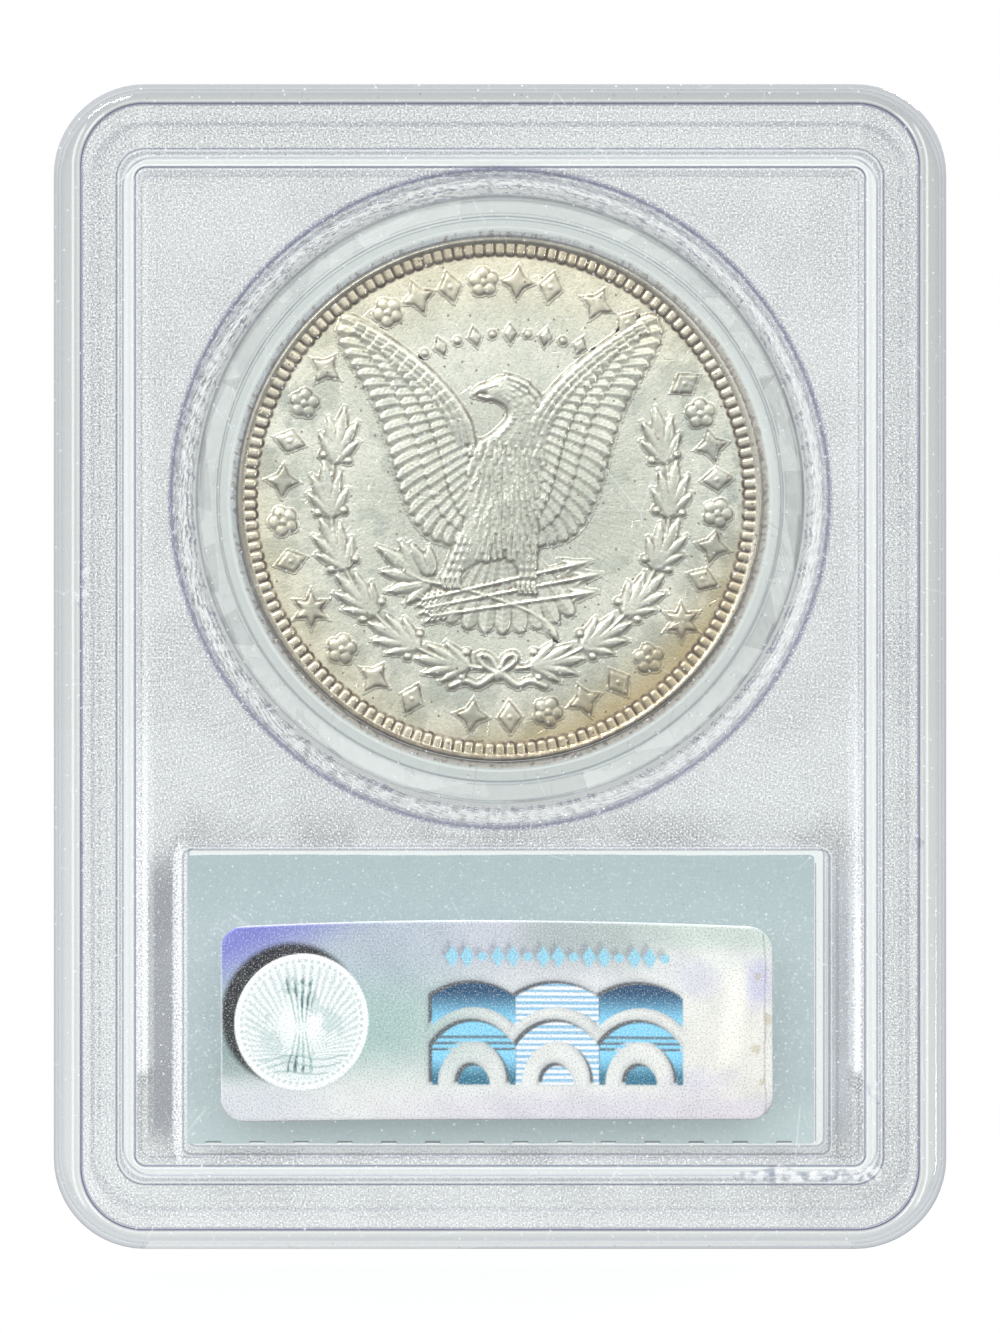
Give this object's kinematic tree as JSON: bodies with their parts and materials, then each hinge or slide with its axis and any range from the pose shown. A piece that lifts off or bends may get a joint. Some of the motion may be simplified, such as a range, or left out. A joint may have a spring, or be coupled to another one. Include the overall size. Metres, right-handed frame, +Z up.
{
  "type": "graded coin slab",
  "caption": "Flat sealed case of clear frosted plastic that shows a silver coin in a round window above a paper label.",
  "frame": {"origin": "centre of the lower edge that the slab stands on, in the plane where the two halves meet", "axes": "+Z up from the label end to the coin end, +X to the right of the rear face, +Y from the rear face to the front face"},
  "size_m": [0.0646, 0.0074, 0.0843],
  "materials": {
    "front_plastic": "satin",
    "rear_plastic": "satin",
    "ring_plastic": "gloss",
    "coin_silver": "satin",
    "label_paper": "matte",
    "sticker_foil": "satin"
  },
  "bodies": {
    "case": {"front_shell": "front_plastic", "rear_shell": "rear_plastic", "coin_ring": "ring_plastic", "label_insert": "label_paper", "hologram_sticker": "sticker_foil"},
    "held_coin": {"coin": "coin_silver"}
  },
  "joints": [
    {"name": "coin_turn", "type": "hinge", "parent": "case", "child": "held_coin", "pos_m": [0, 0, 0.0543], "axis": [0, 1, 0], "continuous": true}
  ]
}
